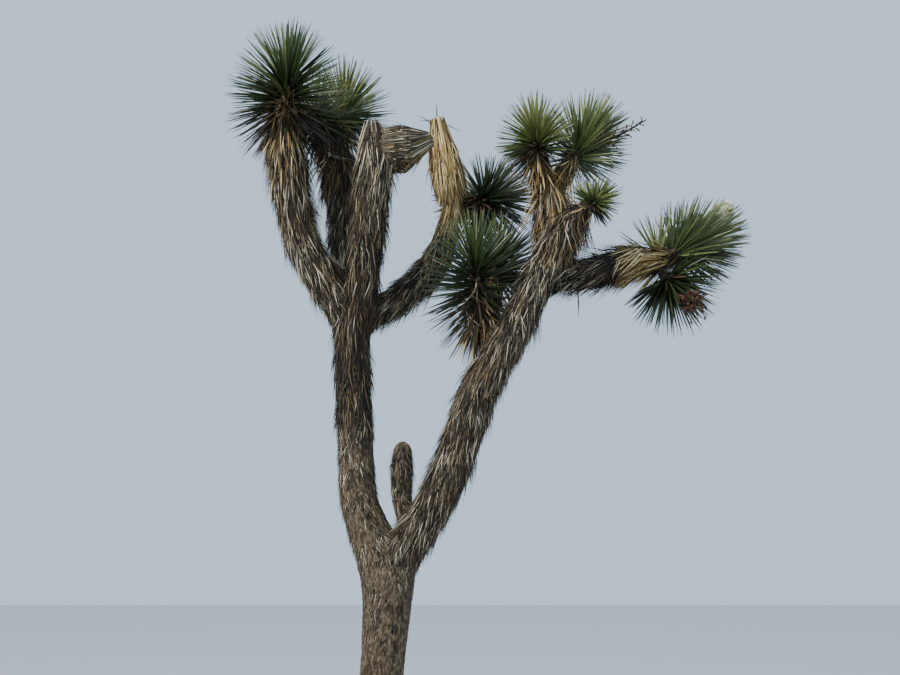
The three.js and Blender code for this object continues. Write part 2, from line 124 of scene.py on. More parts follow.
# Dead leaves along each limb: the place, as a share of its length from its foot, and there the spacing,
# length, lift in degrees, shares of brown and gold leaves, and how much the dark shades prevail. The dark
# shades are partly the leaves' own tone and partly painted shade.
THATCH = {
    "trunk": [
        (0, 0.0078, 0.046, 4, 0.5, 0, 1.5), (0.9, 0.007, 0.04, 5, 0.5, 0, 1.5),
        (1, 0.007, 0.045, 8, 0.45, 0, 1.5),
    ],
    "left_stem": [
        (0, 0.007, 0.05, 9, 0.3, 0, 1.4), (0.55, 0.0075, 0.055, 9, 0.35, 0, 1.5),
        (0.68, 0.01, 0.12, 7, 0.8, 0, 3), (1, 0.01, 0.14, 8, 0.75, 0, 3.2),
    ],
    "right_stem": [
        (0, 0.01, 0.09, 10, 0.3, 0.02, 1.7), (0.5, 0.01, 0.1, 10, 0.3, 0.01, 1.6),
        (1, 0.0105, 0.12, 11, 0.3, 0.01, 1.5),
    ],
    "right_bough": [
        (0, 0.0105, 0.11, 11, 0.2, 0.01, 1.5), (0.6, 0.0105, 0.12, 12, 0.5, 0.04, 1.5),
        (1, 0.0105, 0.17, 15, 0.9, 0.1, 1.8),
    ],
    "arm_bough": [
        (0, 0.0105, 0.1, 9, 0.2, 0, 3), (0.5, 0.011, 0.13, 11, 0.3, 0, 3.2),
        (0.93, 0.0115, 0.16, 10, 0.3, 0, 2.4), (0.94, 0.005, 0.3, 10, 0, 1, 1.15),
        (1.03, 0.004, 0.36, 10, 0, 1, 1.15),
    ],
    "top_bough": [
        (0, 0.0105, 0.14, 10, 0.5, 0.1, 1.8), (0.45, 0.0105, 0.18, 14, 0.5, 0.3, 1.7),
        (1, 0.0095, 0.26, 14, 0.2, 0.55, 1.7),
    ],
    "inner_bough": [(0, 0.011, 0.14, 12, 0.5, 0.2, 1.6), (1, 0.011, 0.2, 16, 0.3, 0.5, 1.6)],
    "bent_bough": [
        (0, 0.0105, 0.09, 13, 0.2, 0, 1.4), (0.6, 0.0105, 0.1, 12, 0.3, 0.05, 1.4),
        (1, 0.0105, 0.13, 7, 0.2, 0.6, 1.4),
    ],
    "bent_bough_tip": [(0, 0.0105, 0.14, 5, 0.1, 0.85, 1.2), (1, 0.0095, 0.18, 5, 0, 0.95, 1)],
    "front_bough": [
        (0, 0.0105, 0.12, 9, 0.8, 0, 2.6), (0.6, 0.0105, 0.13, 9, 0.5, 0, 2.1),
        (0.8, 0.0095, 0.15, 9, 0, 0.05, 1.5), (1.04, 0.0065, 0.18, 7, 0, 0.05, 1.2),
    ],
    "rear_bough": [
        (0, 0.0105, 0.1, 9, 0.3, 0, 1.4), (0.7, 0.0105, 0.13, 10, 0.7, 0, 1.2),
        (1, 0.0095, 0.22, 12, 1, 0.02, 1.1),
    ],
    "outer_bough": [
        (0, 0.0105, 0.11, 10, 0.3, 0, 1.6), (0.5, 0.0105, 0.12, 10, 0.3, 0, 1.6),
        (0.75, 0.0105, 0.16, 10, 0.4, 0.08, 2), (1, 0.0105, 0.2, 11, 0.4, 0.35, 2.1),
    ],
    "dead_stub": [
        (0, 0.02, 0.04, 4, 0, 0, 3), (0.4, 0.011, 0.06, 9, 0, 0, 3), (1, 0.009, 0.06, 12, 0, 0, 3),
    ],
    "crown_outer": [
        (0, 0.0095, 0.24, 9, 0.3, 0.6, 1.9), (0.45, 0.01, 0.24, 12, 0.5, 0.5, 2),
        (1, 0.04, 0.2, 30, 1, 0, 2),
    ],
    "crown_rear_front": [
        (0, 0.009, 0.22, 9, 0.9, 0.05, 1.4), (0.6, 0.009, 0.24, 16, 1, 0, 1.4),
        (1, 0.05, 0.2, 30, 1, 0, 2),
    ],
    "dead_head_bent": [
        (0, 0.03, 0.2, 4, 0.4, 0.1, 1.6), (0.6, 0.02, 0.26, 4, 0.4, 0.1, 1.4),
        (0.72, 0.0065, 0.3, 4, 0.4, 0.2, 1.15), (1, 0.0048, 0.36, 4, 0.4, 0.2, 1.15),
    ],
    "dead_head_tall": [
        (0, 0.0095, 0.09, 4, 0, 0.97, 1.2), (0.35, 0.009, 0.18, 8, 0, 0.97, 1.2),
        (0.6, 0.009, 0.26, 7, 0, 1, 1.15), (1.05, 0.008, 0.28, 4, 0, 1, 1.15),
    ],
    "crown_inner_front": [
        (0, 0.009, 0.22, 8, 0.4, 0.55, 1.6), (0.4, 0.01, 0.24, 16, 0.6, 0.3, 2),
        (1, 0.04, 0.2, 30, 1, 0, 3),
    ],
    "crown_small": [(0, 0.01, 0.16, 9, 0.9, 0.15, 1.8), (1, 0.03, 0.14, 20, 1, 0, 1.8)],
    "crown_top_right": [
        (0, 0.011, 0.16, 7, 0.6, 0.3, 2), (0.5, 0.011, 0.18, 9, 0.6, 0.3, 2),
        (1, 0.05, 0.18, 30, 1, 0, 2),
    ],
    "crown_arm_upper": [
        (0, 0.01, 0.12, 9, 0.7, 0.2, 2), (0.5, 0.012, 0.14, 14, 0.9, 0.1, 2),
        (1, 0.05, 0.1, 10, 1, 0, 2),
    ],
    "crown_arm_lower": [(0, 0.014, 0.1, 12, 0.6, 0, 2.5), (1, 0.03, 0.1, 20, 1, 0, 2.5)],
    "crown_arm_rear": [(0, 0.05, 0.1, 10, 1, 0, 2), (1, 0.05, 0.1, 10, 1, 0, 2)],
}
# The same along the stems of the other heads
SKIRT = [
    (0, 0.01, 0.2, 7, 0.4, 0.5, 1.7), (0.55, 0.01, 0.22, 11, 0.5, 0.4, 1.7),
    (1, 0.05, 0.18, 30, 1, 0, 2),
]
THATCH_PIECES = {
    "thatch_low": ["trunk", "left_stem", "dead_stub"],
    "thatch_left": ["front_bough", "rear_bough", "outer_bough"],
    "thatch_middle": ["bent_bough", "bent_bough_tip", "inner_bough", "top_bough"],
    "thatch_right": ["right_stem", "right_bough", "arm_bough"],
}
# Heads whose dead leaves stay straight and stop short of the bough
STIFF_HEADS = {"dead_head_bent", "crown_hidden", "crown_arm_lower", "crown_arm_rear"}
# How limp those leaves are, and golden ones, where grey ones have 1
STIFF_LIMPNESS = 0.1
GOLD_LIMPNESS = 0.15
LIMP_SLIDE = 0.45  # how far round a level limb a limp leaf slides, as a share of its length
HANG_LEAST = 0.05  # how far it hangs clear below that limb, also as a share, and up to how much more
HANG_MORE = 0.5
VEER = 0.034  # how far a limp leaf's tip strays sideways
VEER_STIFF = 0.4  # and the share of that for a stiff one
LENGTH_VARIETY = 0.9  # range of the lengths, as a share
GOLD_VARIETY = 0.5  # how much of that range golden leaves lack
LIFT_VARIETY = 1.5  # range of the lifts, as a share, with most leaves low in it
LIFT_BIAS = 1.5
LEAST_LIFT = 0.3
TUFT_SCALE = 11  # how fine the tufts of leaves are
TUFT_LIFT = 1.5  # how much a tuft lifts its leaves, and how much less brown they are
TUFT_BROWN = 0.9
GOLD_ORDER = 0.6  # how much more evenly golden leaves lie than grey ones

# Single dead leaves that stand out against the sky, from root to tip
STRAYS = [
    [(1.058, -0.3, 3.06), (1.06, -0.31, 2.96), (1.058, -0.3, 2.865)],
    [(0.31, 0.035, 4.15), (0.308, 0.02, 4.22), (0.306, 0, 4.29)],
    [(0.31, 0.04, 4.16), (0.385, 0.03, 4.14), (0.47, 0.02, 4.09)],
    [(0.3, 0.04, 4.16), (0.235, 0.02, 4.185), (0.17, 0, 4.2)],
    [(0.3, 0.04, 4.15), (0.25, 0, 4.16), (0.2, -0.03, 4.15)],
    [(0.3, 0.1, 3.99), (0.258, 0.1, 3.89), (0.239, 0.1, 3.79)],
    [(0.32, 0.1, 3.92), (0.282, 0.1, 3.82), (0.274, 0.1, 3.728)],
    [(0.33, 0.11, 3.88), (0.3, 0.11, 3.78), (0.297, 0.11, 3.7)],
    [(-0.33, 0.13, 3.84), (-0.366, 0.12, 3.73), (-0.372, 0.12, 3.6)],
    [(0.04, -0.3, 3.7), (0.085, -0.3, 3.63), (0.11, -0.3, 3.538)],
]
STRAY_UP = (0.3, -0.9, 0.3)  # the way that their upper sides face

# Heads of leaves, as in the imported part: the stem's ends, its radii and its rise between the ends, the
# leaves' number and length, how much shorter the lowest are, and the share that is green. Green leaves go
# down the stem to `live_to` and open to `set` degrees, and dead ones turn back further. `tone` makes the
# green of a whole head lighter, and below zero darker, which paints light and shade on the heads.
# `fineness` says how many leaves stand for one blade of the imported part.
HEAD_DEFAULTS = {
    "rise": 0, "live": 0.8, "live_to": 0.45, "set": 118, "turn_from": 132, "turn_back": 164,
    "shorten": 0.14, "tone": 0, "fineness": 8,
}
# The tones paint light and shade on whole heads: those hidden inside the crown are darkest.
HEADS = {
    "crown_outer": {
        "leaves": 84, "length": 0.308, "shorten": 0.06, "live": 0.88, "live_to": 0.8, "set": 148,
        "turn_from": 150, "tone": -0.3,
        "ends": [(-0.527, -0.29, 3.96), (-0.518, -0.31, 4.306)], "radii": (0.052, 0.053, 0.056, 0.02),
    },
    "crown_rear_front": {
        "leaves": 60, "length": 0.285, "set": 134, "turn_from": 146, "rise": 0.038, "tone": 1.8,
        "ends": [(-0.33, 0.122, 4.004), (-0.405, -0.1, 4.185)], "radii": (0.034, 0.039, 0.041, 0.014),
    },
    "crown_rear_top": {
        "leaves": 58, "length": 0.318, "live_to": 0.32, "set": 124, "tone": 1.1,
        "ends": [(-0.287, 0.193, 4.004), (-0.266, 0.205, 4.37)], "radii": (0.034, 0.041, 0.043, 0.015),
    },
    "dead_head_bent": {
        "leaves": 34, "length": 0.25, "live": 0, "live_to": 0, "turn_from": 150, "rise": -0.026,
        "ends": [(-0.005, -0.362, 3.805), (0.275, -0.28, 3.905)],
        "radii": (0.066, 0.132, 0.104, 0.07, 0.046),
    },
    "dead_head_tall": {
        "leaves": 52, "length": 0.29, "live": 0, "live_to": 0, "turn_from": 157,
        "ends": [(0.386, 0.152, 3.78), (0.313, 0.04, 4.178)],
        "radii": (0.062, 0.08, 0.076, 0.058, 0.044),
    },
    "crown_hidden": {
        "leaves": 58, "length": 0.3, "set": 138, "tone": -1.4, "fineness": 10,
        "ends": [(0.41, 0.19, 3.7), (0.665, 0.4, 3.838)], "radii": (0.036, 0.044, 0.046, 0.016),
    },
    "crown_inner_front": {
        "leaves": 60, "length": 0.3, "shorten": 0, "set": 150, "live_to": 0.95, "tone": -1.6,
        "ends": [(0.552, -0.138, 2.925), (0.512, -0.325, 3.205)], "radii": (0.025, 0.04, 0.042, 0.015),
    },
    "crown_inner_rear": {
        "leaves": 54, "length": 0.295, "live_to": 0.35, "tone": -1.4,
        "ends": [(0.588, -0.084, 2.925), (0.665, 0.072, 3.345)], "radii": (0.025, 0.04, 0.042, 0.015),
    },
    "crown_top_left": {
        "leaves": 58, "length": 0.228, "live_to": 0.4, "set": 126, "tone": 1.6,
        "ends": [(0.898, -0.252, 3.64), (0.857, -0.3, 3.95)], "radii": (0.024, 0.042, 0.044, 0.015),
    },
    "crown_top_right": {
        "leaves": 58, "length": 0.288, "set": 84, "rise": -0.012, "tone": 0.8,
        "ends": [(0.95, -0.23, 3.64), (1.175, -0.145, 4.006)], "radii": (0.024, 0.042, 0.044, 0.015),
    },
    "crown_small": {
        "leaves": 36, "length": 0.134, "set": 112, "tone": 1.4, "fineness": 5,
        "ends": [(1.068, -0.411, 3.422), (1.166, -0.466, 3.484)], "radii": (0.042, 0.04, 0.042, 0.015),
    },
    "crown_arm_upper": {
        "leaves": 62, "length": 0.312, "live_to": 0.62, "set": 68, "tone": -0.1, "fineness": 10,
        "ends": [(1.528, -0.118, 3.238), (1.795, -0.05, 3.392)], "radii": (0.024, 0.044, 0.046, 0.016),
    },
    "crown_arm_lower": {
        "leaves": 50, "length": 0.29, "live": 1, "set": 98, "tone": -0.5, "fineness": 6,
        "ends": [(1.542, -0.142, 3.192), (1.595, -0.13, 3.118)], "radii": (0.02, 0.036, 0.038, 0.013),
    },
    "crown_arm_rear": {
        "leaves": 26, "length": 0.262, "set": 70, "fineness": 2,
        "ends": [(1.535, -0.1, 3.228), (1.552, -0.07, 3.325)], "radii": (0.018, 0.03, 0.032, 0.011),
    },
}
GOLDEN_ANGLE = math.pi * (3 - math.sqrt(5))
ROOT_DEPTH = 0.62  # how far from the stem's axis leaves start, as a share of its radius
ROOT_RISE = 1.4  # how fast they start further out, from the middle of the head on
TIP_GAP = 0.03  # share of the stem above the first leaf
DEAD_TO = 0.8  # share of the stem down to the last dead one
LENGTH_SPREAD = 0.2
TILT_SPREAD = 0.16  # this and the next in radians
TURN_SPREAD = 0.3
SAG = (0.01, 0.03)  # middle and spread of how far tips sink, as a share of the length
UP_SPREAD = 0.25
OVERLAP = 0.05  # how far leaves reach into the space of the next head
OWN_PLACES = np.linspace(0.1, 1, 7)  # places along a stem that its leaves keep near
STEEP = 0.2  # sine of the lean below which a stem counts as upright

# Colour number of a green leaf: in the middle of a head, its fall for each radian from there, its rise for
# a leaf that points up, and its spread. The fall is partly the older outer leaves and partly painted shade
# on a head's low side, and the rise is painted light from above.
TONE_MIDDLE = 3.3
TONE_FALL = 1.3
TONE_UP = 1.2
TONE_SPREAD = 1.1
# Dying leaves are brown. They are dealt to leaves that point down, on a head's low side, which also paints
# shade there.
DYING_FROM = 1.25  # green leaves further from the stem's direction than this may die, in radians
DYING_DROP = 0.1  # and of those, the ones that point further down than this
DYING_RATE = 3
DYING_MOST = 0.85
PAINTED_FRONT_LIGHT = 4.5  # painted light: how many colour numbers paler a dying leaf is where it points to the front, towards the key light
PAINTED_FRONT_LIGHT_START = 2.2  # less this many, so that only those well to the front turn pale
PAINTED_FRONT_LIGHT_SPREAD = 0.6

# Leaf sizes
GREEN_WIDTH = 0.0125
GREEN_VARIETY = 0.3  # range of the widths, as a share
STRAW_WIDTH = 0.008
STRAW_VARIETY = 0.4
STRAW_DARK = 0.9
LEAST_WIDTH = 0.0021  # of a dead leaf, before the share of its length
WIDTH_SHARE = 0.0165
WIDTH_VARIETY = 0.5
LEAF_FLATNESS = 0.3  # thickness as a share of the width

# A dry flower stalk, old fruit in a cluster and one flower bud
STALK = [
    (1.11, -0.15, 3.925, 0.009), (1.214, -0.25, 3.897, 0.009), (1.333, -0.33, 3.918, 0.007),
    (1.46, -0.36, 3.984, 0.003),
]
STALK_TWIGS = 30
STALK_REACH = (0.1, 0.95)  # shares of the stalk between which its twigs stand
STALK_TWIG_LENGTH = 0.085
STALK_TWIG_RADII = (0.003, 0.0025, 0.002)
STALK_TWIG_LEAN = 0.8
STALK_TAPER = 0.75  # how much shorter the last twig is than the first
STALK_POD_LENGTH = 0.024
STALK_POD_PLACES = (0.45, 0.75, 1)
STALK_POD_TAPER = 0.35
STALK_POD_SPREAD = 0.6
CLUSTER_STALK = [
    (1.592, -0.134, 3.122, 0.012), (1.602, -0.215, 3.035, 0.011), (1.664, -0.28, 2.975, 0.008),
]
CLUSTER_RADIUS = 0.095
CLUSTER_CORE = 0.3  # share of that radius inside which no pod sits
CLUSTER_PODS = 150
CLUSTER_TWIG_RADII = (0.0025, 0.0022, 0.002)
CLUSTER_POD_LENGTH = 0.03
CLUSTER_POD_SIZES = (0.7, 1.2)  # range of the lengths, as shares
CLUSTER_POD_SPREAD = 0.45
CLUSTER_POD_DROOP = (0, 0, -0.2)
HANGING_PODS = [
    (1.652, -0.285, 2.87), (1.69, -0.27, 2.885), (1.735, -0.25, 2.9), (1.742, -0.262, 2.95),
]
HANGING_POD_LENGTH = 0.028
HANGING_OVERLAP = (0, 0, 0.004)  # how far a pod laps over its thread
THREAD_RADII = (0.002, 0.0018, 0.0018)
POD_SHAPE = (0.06, 0.15, 0.2, 0.15, 0.03)  # radii of a pod from stalk to tip, as shares of its length
BUD = [
    (1.79, -0.05, 3.39, 0.014), (1.875, -0.06, 3.475, 0.016), (1.913, -0.055, 3.542, 0.042),
    (1.951, -0.05, 3.584, 0.044), (1.976, -0.045, 3.61, 0.016),
]
BUD_SCALES = 150
BUD_REACH = (0.02, 0.52)  # shares of its line, from the tip back, that the scales cover
SCALE_LENGTH = 0.05
SCALE_WIDTH = 0.026
SCALE_LIFT = 14.0  # in degrees
SCALE_SHIFT = 0.6  # how far beyond its own place a scale starts, as a share of its length

# Colours on the 0 to 255 scale
# Greens, darkest first. Lighter ones go to young leaves and, as painted light, to leaves that point up.
GREENS = {
    "leaf_shade": (26, 36, 16),
    "leaf_deep": (40, 54, 26),
    "leaf_mid": (58, 74, 38),
    "leaf_fresh": (80, 94, 50),
    "leaf_light": (106, 117, 68),
    "leaf_new": (134, 140, 84),
}
# Dying leaves, darkest first. The darkest is also the spine at each green leaf's tip; on dying leaves that
# point down and back it is painted shade.
DYING = {
    "leaf_spine_and_shade": (34, 27, 17),
    "leaf_dying": (58, 46, 29),
    "leaf_withered": (90, 76, 48),
    "leaf_dry": (124, 106, 68),
}
# Dead leaves, darkest first. The darkest and palest of each kind are partly the leaves' own tones, and
# partly painted shade in the gaps between strands and painted light on the lit strands.
GREYS = {
    "dead_dark": (22, 17, 11),
    "dead_slate": (56, 48, 37),
    "dead_grey": (94, 85, 68),
    "dead_ash": (134, 125, 105),
    "dead_pale": (186, 177, 155),
}
BROWNS = {
    "dead_umber": (26, 18, 10),
    "dead_brown": (56, 42, 26),
    "dead_tan": (90, 72, 48),
    "dead_fawn": (132, 112, 80),
}
GOLDS = {
    "straw_shade": (64, 46, 20),
    "straw_deep": (112, 87, 45),
    "straw_gold": (154, 128, 76),
    "straw_bright": (194, 170, 114),
    "straw_pale": (220, 202, 154),
}
STRAY_COLOURS = {"stray_dark": (58, 48, 34), "stray_grey": (92, 82, 64)}
FRUITS = {"pod_dark": (34, 23, 17), "pod_red": (80, 48, 33), "pod_tan": (104, 78, 54)}
BUDS = {"bud_green": (132, 142, 92), "bud_cream": (200, 204, 156), "bud_pale": (222, 224, 190)}
# Bark in its hollows, halfway up and on its ridges; the dark of the hollows is painted shade
TRUNK_BARK = ((20, 14, 9), (60, 48, 34), (114, 101, 80))
# Painted shade: the bough bark lies under the dead leaves, and all of it is darker than the trunk's.
BOUGH_BARK = ((12, 9, 6), (34, 28, 20), (70, 62, 50))
FLOOR = (226, 224, 220)
SKY = (188, 208, 228)

rng = np.random.default_rng(77)


def lerp(a, b, t):
    return a + (b - a) * t


def unit(vectors):
    return vectors / np.linalg.norm(vectors, axis=-1, keepdims=True)


def spread(count, size):
    """Random numbers, even over a range of this size round zero."""
    return (rng.random(count) - 0.5) * size


class Line:
    """The smooth line through stations of x, y, z and radius, with a frame carried along it untwisted."""

    STEPS = 16  # samples between two stations

    def __init__(self, stations):
        given = np.array(stations, float)
        points = given[:, :3]
        before = 2 * points[0] - points[1]
        after = 2 * points[-1] - points[-2]
        padded = np.vstack([before, points, after])
        samples = [points[:1]]
        for i in range(len(points) - 1):
            samples.append(self.stretch(padded[i:i + 4]))
        self.point = np.vstack(samples)
        places = np.linspace(0, len(points) - 1, len(self.point))
        self.radius = np.interp(places, np.arange(len(points)), given[:, 3])
        steps = np.linalg.norm(np.diff(self.point, axis=0), axis=1)
        self.arc = np.concatenate([[0], np.cumsum(steps)])
        self.length = self.arc[-1]
        self.tangent = unit(np.gradient(self.point, self.arc, axis=0))
        self.side = self.carried_side()

    def stretch(self, four):
        """The points from the second to the third of four stations, on a centripetal curve."""
        gaps = np.linalg.norm(np.diff(four, axis=0), axis=1) ** 0.5
        p0, p1, p2, p3 = four
        leave = (p1 - p0) / gaps[0] - (p2 - p0) / (gaps[0] + gaps[1]) + (p2 - p1) / gaps[1]
        arrive = (p2 - p1) / gaps[1] - (p3 - p1) / (gaps[1] + gaps[2]) + (p3 - p2) / gaps[2]
        leave = leave * gaps[1]
        arrive = arrive * gaps[1]
        t = np.linspace(0, 1, self.STEPS + 1)[1:, None]
        curve = p1 + leave * t + (3 * (p2 - p1) - 2 * leave - arrive) * t**2
        return curve + (2 * (p1 - p2) + leave + arrive) * t**3

    def carried_side(self):
        side = unit(np.cross(self.tangent[0], (0, 1, 0.01)))
        sides = []
        for tangent in self.tangent:
            side = unit(side - tangent * np.dot(side, tangent))
            sides.append(side)
        return np.array(sides)

    def blend(self, values, distance):
        return np.stack([np.interp(distance, self.arc, column) for column in values.T], axis=-1)

    def at(self, distance):
        """Point, tangent, side and radius at distances along the line, which runs on past its ends."""
        tangent = unit(self.blend(self.tangent, distance))
        side = unit(self.blend(self.side, distance))
        beyond = distance - np.clip(distance, 0, self.length)
        point = self.blend(self.point, distance) + tangent * beyond[..., None]
        return point, tangent, side, np.interp(distance, self.arc, self.radius)

    def outward(self, distance, angle):
        """The point on the axis, the way out of the limb at an angle, and the radius, at distances."""
        point, tangent, side, radius = self.at(distance)
        other = np.cross(tangent, side)
        out = side * np.cos(angle)[..., None] + other * np.sin(angle)[..., None]
        return point, out, radius


def stem_stations(head):
    start, end = (np.array(p) for p in head["ends"])
    last = len(head["radii"]) - 1
    stations = []
    for i, radius in enumerate(head["radii"]):
        t = i / last
        x, y, z = lerp(start, end, t)
        stations.append((x, y, z + 4 * head["rise"] * t * (1 - t), radius))
    return stations


def bark_line(name):
    """The line of a limb, with the radii of its bark under the dead leaves."""
    skin = THIN_SKINS.get(name, SKIN)
    return Line([(x, y, z, max(radius - skin, LEAST_BARK * radius)) for x, y, z, radius in LIMBS[name]])


LINES = {name: bark_line(name) for name in LIMBS}
HEADS = {name: {**HEAD_DEFAULTS, **head} for name, head in HEADS.items()}
STEMS = {name: Line(stem_stations(head)) for name, head in HEADS.items()}
COARSE = slice(None, None, 3)  # every third sample of a line, which are enough to find the nearest


def gap_to(line, points):
    """Distance from each point to the surface of a limb, below zero inside it."""
    offsets = points[..., None, :] - line.point[COARSE]
    return (np.linalg.norm(offsets, axis=-1) - line.radius[COARSE]).min(axis=-1)


def inside_limbs(points, own=None, margin=0.0):
    """Whether each point lies in a limb other than its own."""
    found = np.zeros(points.shape[:-1], bool)
    for name, line in LINES.items():
        if name != own:
            found |= gap_to(line, points) < margin
    return found


# Meshes from arrays

def placed(name, data):
    """An object of this data in the scene."""
    made = bpy.data.objects.new(name, data)
    bpy.context.scene.collection.objects.link(made)
    return made


def arrays_to_object(name, vertices, triangles):
    mesh = bpy.data.meshes.new(name)
    mesh.vertices.add(len(vertices))
    mesh.vertices.foreach_set("co", vertices.astype(np.float32).ravel())
    mesh.loops.add(triangles.size)
    mesh.loops.foreach_set("vertex_index", triangles.astype(np.int32).ravel())
    mesh.polygons.add(len(triangles))
    mesh.polygons.foreach_set("loop_start", np.arange(0, triangles.size, 3, dtype=np.int32))
    mesh.update(calc_edges=True)
    return placed(name, mesh)


def add_piece(name, vertices, triangles, materials, dealt, smooth=False):
    """A mesh object with a material dealt to each triangle, which rides on the tree."""
    piece = arrays_to_object(name, vertices, triangles)
    for material in materials:
        piece.data.materials.append(material)
    piece.data.polygons.foreach_set("material_index", dealt.astype(np.int32))
    piece.data.polygons.foreach_set("use_smooth", np.full(len(triangles), smooth))
    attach(piece, "root")
    return piece


def joined(parts):
    """Several meshes as one: vertices, triangles, and then what each mesh has for every triangle."""
    offsets = np.cumsum([0] + [len(part[0]) for part in parts[:-1]])
    triangles = [part[1] + offset for part, offset in zip(parts, offsets)]
    others = [np.concatenate([part[i] for part in parts]) for i in range(2, len(parts[0]))]
    return np.vstack([part[0] for part in parts]), np.vstack(triangles), *others


def wall_faces(rings, sides):
    """Triangles of a tube's wall, between rings of this many corners."""
    ring, side = np.meshgrid(np.arange(rings - 1), np.arange(sides), indexing="ij")
    a = (ring * sides + side).ravel()
    b = (ring * sides + (side + 1) % sides).ravel()
    return np.vstack([np.stack([a, b, b + sides], -1), np.stack([a, b + sides, a + sides], -1)])


def tube_faces(rings, sides):
    """Triangles of a closed tube. The middles of its two ends are the last two vertices."""
    middle = rings * sides
    top = middle - sides
    first = np.arange(sides)
    after = (first + 1) % sides
    foot = np.stack([np.full(sides, middle), after, first], -1)
    cap = np.stack([np.full(sides, middle + 1), top + first, top + after], -1)
    return np.vstack([wall_faces(rings, sides), foot, cap])


def leaf_faces(rings, corners):
    """Triangles of one leaf: a tube that is closed at its root and drawn to a point."""
    tip = rings * corners
    top = tip - corners
    root = [(0, i + 1, i) for i in range(1, corners - 1)]
    point = [(top + i, top + (i + 1) % corners, tip) for i in range(corners)]
    return np.vstack([wall_faces(rings, corners), root, point])


LEAST_RINGS = 4


def tube(line, sides, step, shape=None, start=0.0, end=1.0):
    """A closed tube along a share of a line. `shape(distance, angle)` scales its radius."""
    rings = max(LEAST_RINGS, round(line.length * (end - start) / step))
    distances = np.linspace(start, end, rings) * line.length
    angles = np.arange(sides) * 2 * math.pi / sides
    distance, angle = np.meshgrid(distances, angles, indexing="ij")
    axis_point, out, radius = line.outward(distance, angle)
    scale = shape(distance, angle) if shape else 1
    surface = axis_point + out * (radius * scale)[..., None]
    return np.vstack([surface.reshape(-1, 3), axis_point[[0, -1], 0]]), tube_faces(rings, sides)


# Sections of a leaf across and up, and the shares of its width from the root on, the tip left out
FLAT_SECTION = np.array([(1, 0.15), (-1, 0.15), (0, -0.6)])
KEELED_SECTION = np.array([(1, 0.3), (0, -0.05), (-1, 0.3), (0, -0.7)])
GREEN_PROFILE = np.array([0.8, 1.0, 0.82, 0.38])
GREEN_PLACES = np.array([0, 0.25, 0.6, 0.9, 1])
THATCH_PROFILE = np.array([0.9, 1.0])
THATCH_PLACES = np.array([0, 0.5, 1])
NEEDLE_PROFILE = np.array([1.2])
NEEDLE_LIMIT = 0.07  # dead leaves shorter than this are straight needles
SCALE_PROFILE = np.array([0.6, 1.0])


def leaf_mesh(paths, ups, widths, colours, profile, section):
    """Leaves along middle lines, with the ways that their upper sides face: vertices, triangles, and the
    colour number of each triangle."""
    count = len(paths)
    rings = len(profile)
    forward = unit(np.gradient(paths, axis=1))
    across = unit(np.cross(forward, ups))
    up = np.cross(across, forward)
    half = 0.5 * widths[:, None] * profile
    x = half[:, :, None, None] * section[:, 0][:, None] * across[:, :rings, None]
    y = half[:, :, None, None] * section[:, 1][:, None] * up[:, :rings, None] * (2 * LEAF_FLATNESS)
    body = paths[:, :rings, None] + x + y
    vertices = np.concatenate([body.reshape(count, rings * len(section), 3), paths[:, -1:]], axis=1)
    faces = leaf_faces(rings, len(section))
    offsets = np.arange(count)[:, None, None] * vertices.shape[1]
    triangles = (faces + offsets).reshape(-1, 3)
    return vertices.reshape(-1, 3), triangles, np.repeat(colours, len(faces))


# Materials

def linear(colour):
    """A colour on the 0 to 255 scale as the shader takes it."""
    values = [c / 255 for c in colour]
    return [v / 12.92 if v <= 0.04045 else ((v + 0.055) / 1.055) ** 2.4 for v in values] + [1]


def new_material(name, roughness):
    """A material and its shader."""
    material = bpy.data.materials.new(name)
    material.use_nodes = True
    shader = material.node_tree.nodes["Principled BSDF"]
    shader.inputs["Roughness"].default_value = roughness
    return material, shader


def plain_material(name, colour, roughness):
    material, shader = new_material(name, roughness)
    shader.inputs["Base Color"].default_value = linear(colour)
    return material


def palette(colours, roughness):
    return [plain_material(name, colour, roughness) for name, colour in colours.items()]


def add_node(material, kind, **values):
    """A shader node, with values in the inputs of those names."""
    node = material.node_tree.nodes.new("ShaderNode" + kind)
    for name, value in values.items():
        node.inputs[name].default_value = value
    return node


def attribute_node(material, name):
    node = add_node(material, "Attribute")
    node.attribute_name = name
    return node


def math_node(material, operation):
    node = add_node(material, "Math")
    node.operation = operation
    return node


def bark_material(name, dark, middle, light):
    """Fibrous bark, dark in its hollows as painted shade. It reads two attributes of the mesh: `grain`,
    the place on a limb laid out straight, and `relief`, which is 0 in a hollow and 1 on a ridge."""
    material, shader = new_material(name, 0.92)
    link = material.node_tree.links.new
    place = attribute_node(material, "grain")
    height = attribute_node(material, "relief")
    fibres = add_node(material, "TexNoise", Scale=110, Detail=5, Roughness=0.65, Distortion=0.6)
    link(place.outputs["Vector"], fibres.inputs["Vector"])
    tone = math_node(material, "ADD")
    link(height.outputs["Fac"], tone.inputs[0])
    link(fibres.outputs["Fac"], tone.inputs[1])
    scaled = math_node(material, "MULTIPLY")
    scaled.inputs[1].default_value = 0.6
    link(tone.outputs[0], scaled.inputs[0])
    # Painted shade in the hollows: the bark is darker where the relief is low
    ramp = add_node(material, "ValToRGB")
    first, last = ramp.color_ramp.elements
    first.position = 0.35
    first.color = linear(dark)
    last.position = 0.95
    last.color = linear(light)
    centre = ramp.color_ramp.elements.new(0.65)
    centre.color = linear(middle)
    link(scaled.outputs[0], ramp.inputs["Fac"])
    link(ramp.outputs["Color"], shader.inputs["Base Color"])
    bump = add_node(material, "Bump", Strength=0.8, Distance=0.004)
    link(fibres.outputs["Fac"], bump.inputs["Height"])
    link(bump.outputs["Normal"], shader.inputs["Normal"])
    return material


# Bark: tubes fused into one skin by remeshing, and then raised and sunk along the grain

